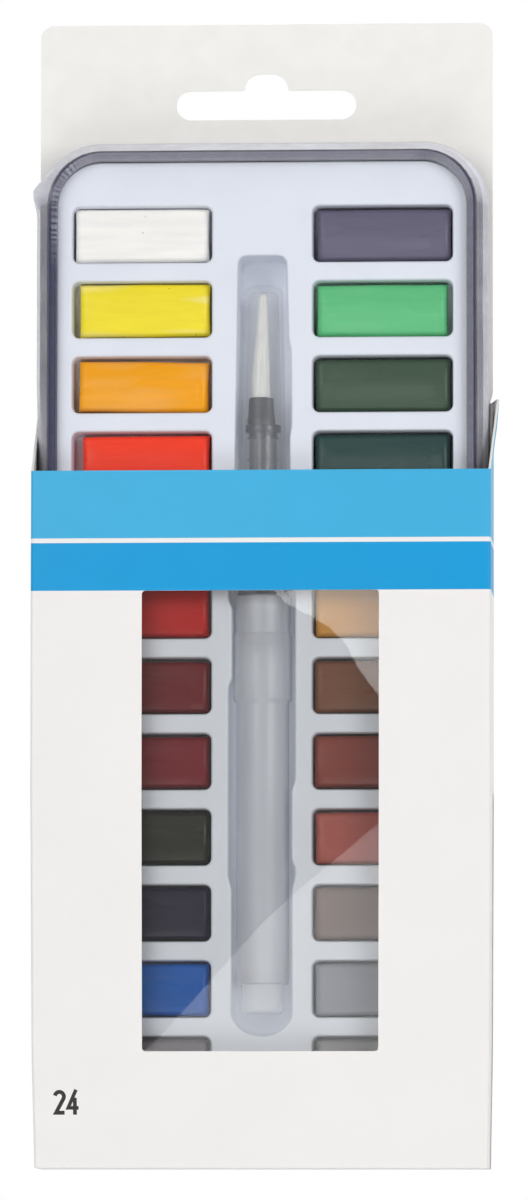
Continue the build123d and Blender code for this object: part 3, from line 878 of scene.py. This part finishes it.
# ---- camera, floor and light
def plain_white(tree, own, white, out):
    """Shows a backdrop white to the rays that see it plainly, from the eye, gloss or glass."""
    path = add(tree, "LightPath").outputs
    seen = path["Is Camera Ray"]
    for ray in ("Is Glossy Ray", "Is Transmission Ray"):
        seen = add(tree, "Math", {0: seen, 1: path[ray]}, operation="MAXIMUM")
    wire(out, {"Surface": add(tree, "MixShader", {0: seen, 1: own, 2: white})})


def make_stage():
    """The camera, a little right of the set and below it, the world, the floor and the lamps."""
    aim = Vector((0.71, -3.13, 20.5)) * MM
    aside, below, roll = (math.radians(a) for a in (3.45, 4.99, 0.07))
    distance = 1.75
    back = Vector((math.tan(aside), -math.tan(below), 1)).normalized()
    right = Vector((0, 1, 0)).cross(back).normalized()
    up = back.cross(right)
    cos, sin = math.cos(roll), math.sin(roll)
    right, up = right * cos + up * sin, up * cos - right * sin
    data = bpy.data.cameras.new("camera")
    data.lens = 247.1
    data.sensor_width = 36
    data.clip_start, data.clip_end = 0.1, 20
    camera = bpy.data.objects.new("camera", data)
    camera.matrix_world = (Matrix.Translation(aim + back * distance)
                           @ Matrix((right, up, back)).transposed().to_4x4())
    scene.collection.objects.link(camera)
    scene.camera = camera
    scene.view_settings.view_transform = "Standard"

    world = bpy.data.worlds.new("world")
    world.use_nodes = True
    scene.world = world
    tree = world.node_tree
    sky = tree.nodes["Background"]
    wire(sky, {"Color": lin("#f2f4f8"), "Strength": 0.36})
    white = add(tree, "Background", {"Color": (1, 1, 1, 1)})
    plain_white(tree, sky, white, tree.nodes["World Output"])

    mesh = bpy.data.meshes.new("floor")
    reach, z = 3.0, -0.4 * MM
    corners = [(x * reach, y * reach, z) for x, y in ((-1, -1), (1, -1), (1, 1), (-1, 1))]
    mesh.from_pydata(corners, [], [(0, 1, 2, 3)])
    floor = bpy.data.objects.new("floor", mesh)
    scene.collection.objects.link(floor)
    paper = Look("white_paper", Roughness=0.9, Base_Color=lin("#f4f4f4"))
    white = paper.add("Emission", {"Color": (1, 1, 1, 1), "Strength": 1.0})
    plain_white(paper.tree, paper.shader, white, paper.out)
    mesh.materials.append(paper.material)

    # Each softbox's place and side in metres, and its power in watts.
    for name, place, size, power in (
        ("softbox_left", (-0.8, 0.35, 1.5), 1.0, 9),
        ("softbox_right", (1.15, 0.25, 1.3), 0.9, 12),
        ("softbox_low", (-0.1, -1.1, 1.4), 0.9, 7.2),
    ):
        light = bpy.data.lights.new(name, "AREA")
        light.shape, light.size, light.energy = "SQUARE", size, power
        lamp = bpy.data.objects.new(name, light)
        lamp.location = place
        lamp.rotation_mode = "QUATERNION"
        lamp.rotation_quaternion = (Vector(place) - aim).to_track_quat("Z", "Y")
        scene.collection.objects.link(lamp)


def make_card(name, loop, strength):
    """A reflector over the window: the loop, in mm, is where it is mirrored in the window film.

    Each point lies at the card's height on the line from the eye's mirror image through the loop's
    point. The card shows only in the film itself: to a ray that has passed through the film it is
    clear.
    """
    eye = np.array(scene.camera.location) / MM
    height = 620.0
    loop = np.asarray(loop, float)
    loop = loop + (loop - eye[:2]) * (height - pane_top) / (eye[2] - pane_top)
    mesh = bpy.data.meshes.new(name)
    mesh.from_pydata([(x * MM, y * MM, height * MM) for x, y in loop], [], [list(range(len(loop)))])
    card = bpy.data.objects.new(name, mesh)
    scene.collection.objects.link(card)
    look = Look(name, Roughness=1.0)
    glow = look.add("Emission", {"Color": (1, 1, 1, 1), "Strength": strength})
    passed = look.add("LightPath").outputs["Transparent Depth"]
    first = look.add("Math", {0: passed, 1: 0.5}, operation="LESS_THAN")
    mix = look.add("MixShader", {0: first, 1: look.add("BsdfTransparent"), 2: glow})
    wire(look.out, {"Surface": mix})
    look.material.cycles.emission_sampling = "NONE"
    mesh.materials.append(look.material)
    for ray in ("camera", "diffuse", "transmission", "volume_scatter", "shadow"):
        setattr(card, "visible_" + ray, False)


make_stage()
make_card("reflector_upper", [(3.0, -1.2), (5.4, -3.8), (10.7, -6.5), (14.8, -9.1), (18.1, -12.4),
                              (20.7, -17.4), (23.1, -20.9), (25.5, -23.7), (40, -30), (60, 0),
                              (30, 20), (0, 8)], 17.0)
make_card("reflector_lower", [(-30, -104), (-20, -94.6), (0.67, -71.6), (6.5, -66.3), (26, -50),
                              (44, -44), (44, -112), (-30, -112)], 9.0)

# ---- the materials and the pieces
# Clay-coated carton board: a warm white with a soft, even gloss. Its fibres are drawn 0.35 mm wide.
CARD = plain("coated_board", "#eeebe8", 0.42, 0.005, 20.0, (0.35, 0.001), uneven=0.03,
             Specular_IOR_Level=0.3)
# The board's bare back and cut edges: matt and faintly cloudy, with 0.4 mm fibres.
RAW = plain("raw_board", "#f1efea", 0.8, 0.008, 6.0, (0.4, 0.002), Specular_IOR_Level=0.2)
# Offset inks on the coating: flat colours with the board's own gloss.
SKY, DEEP = (plain(name, colour, 0.4, 0.008, 14.0, (0.35, 0.001), uneven=0.05,
                   Specular_IOR_Level=0.25)
             for name, colour in (("light_blue_ink", "#3fadda"), ("deep_blue_ink", "#0499d4")))
INK = plain("black_ink", "#2c2b2a", 0.45, 0.03, 3.0, (0.35, 0.001), Specular_IOR_Level=0.2)
# Moulded white polystyrene: cool white and satin, with a painted glow by emission deep in the
# brush channel. The mould's grain is drawn 1.4 mm wide, coarser than it is, so that it shows.
TRAY = plain("moulded_polystyrene", "#dde1ea", 0.38, 0.01, 12.0, (1.4, 0.006),
             Specular_IOR_Level=0.35, Emission_Color=lin("#cfd2d9"))
# Painted light: the emission strength follows the depth value kept on the tray's points.
deep = TRAY.add("Attribute", attribute_name="deep").outputs["Fac"]
wire(TRAY.shader, {"Emission Strength": TRAY.add("Math", {0: deep, 1: 0.12}, operation="MULTIPLY")})
# Stoved enamel on tinplate: a deep navy with a broad gloss and the paint's 0.8 mm orange peel.
NAVY = plain("navy_enamel", "#17193f", 0.34, 0.08, 3.0, (0.8, 0.002), Specular_IOR_Level=0.2)
# Shrunk polyolefin film: clear where it is taut, milky and bright where it gathers or turns away.
# Its milky share also holds painted glare, higher on the upper and right sides.
FILM = veil("shrink_film", "#ebebf3", 0.005, 0.2, 0.2, 0.35, 3.0, haze_and_glare="haze_and_glare", grain=(1.5, 0.002),
            Specular_IOR_Level=0.6)
# Clear polyester sheet: untinted, seen by the sharp reflections in it.
PANE = clear("window_film", "#f7f7f6", 0.008, 0.012, 0.6)
# Polypropylene moulded in a matt mould: a cloudy skin that shows only tones of what lies behind.
FROSTED = veil("frosted_polypropylene", "#d8dbe4", 0.48, 0.36, 0.3, 0.3, 5.0, (1, 6, 1),
               Coat_Weight=0.4, Coat_Roughness=0.18)
PLUG = veil("milky_polypropylene", "#eceef4", 0.42, 0.4, 0.3, 0.3, 4.0)
# Polished clear polystyrene over the dark feed, with sharp highlights. Its grey share is painted
# shade, darkened to offset the painted glow of the channel beneath it.
HEAD = veil("clear_polystyrene", "#5b5f6b", 0.4, 0.12, 0.4, 0.2, 4.0, Coat_Weight=1.0,
            Coat_Roughness=0.06)
# The same plastic, frosted where it is gripped and smoke-tinted where it holds the ferrule.
GRIP = veil("frosted_collar", "#a2a6b0", 0.4, 0.3, 0.3, 0.3, 4.0)
BAND = veil("smoked_polystyrene", "#343844", 0.75, 0.2, 0.2, 0.4, 4.0)
# Clear moulded styrene: hardly there face on, with a pale outline where its wall is seen edge on.
CLEAR = veil("clear_styrene", "#d6d8dc", 0.08, 0.12, 0.14, 0.1, 4.0, Specular_IOR_Level=0.8)
# Moulded silicone: even, pale and dull.
RUBBER = plain("silicone_rubber", "#b4b8c4", 0.6)
# Bonded polyester fibre, soaked dark: matt, with its fibres drawn 0.3 mm wide, coarser than real.
FEED = plain("porous_feed", "#2c303e", 0.7, 0.1, 0.8, (0.3, 0.03))
# Moulded acetal: almost black and satin.
FERRULE = plain("grey_acetal", "#15171e", 0.4, 0.05, 2.0)
# Drawn nylon filaments of 0.1 mm, drawn 0.3 mm wide to show as streaks along the tuft.
NYLON = plain("nylon_filament", "#d2d2cd", 0.5, 0.06, 0.35, (0.3, 0.01), (1, 18, 1))
# The pressed paints from the top down.
PAINTS = {
    "left": ("#f0eee9 #eeda34 #ee9f16 #f4422a #cc2c22 #b41812 #68151b #721822 #232219 #1e182f "
             "#1557a8 #6f6870").split(),
    "right": ("#645f74 #60ba7e #3f5242 #2c4643 #55602e #c48a3a #744a35 #803c33 #a4564e #7a6a67 "
              "#8c8e98 #878788").split(),
}

slots = {part["node"]: part["material_slot"] for part in frame["record"]["subparts"]}
make_tin("lid", lid_low, lid_high, 1.9, 13.7, ["lid_tin"])
make_tin("base", base_low, base_high, 1.8, 11.5, ["base_tin"])
make_tray()
for node in cake_nodes:
    _, column, number = node.split("_")
    paint = pressed("paint_" + slots[node], PAINTS[column][int(number) - 1])
    make_cake(node, column, int(number) - 1, paint, slots[node])
make_film()
make_sleeve()
make_bottom()
make_brush()
frame["nodes"]["window_pane"].data.materials.clear()
frame["nodes"]["window_pane"].data.materials.append(PANE.material)

bpy.context.view_layer.update()
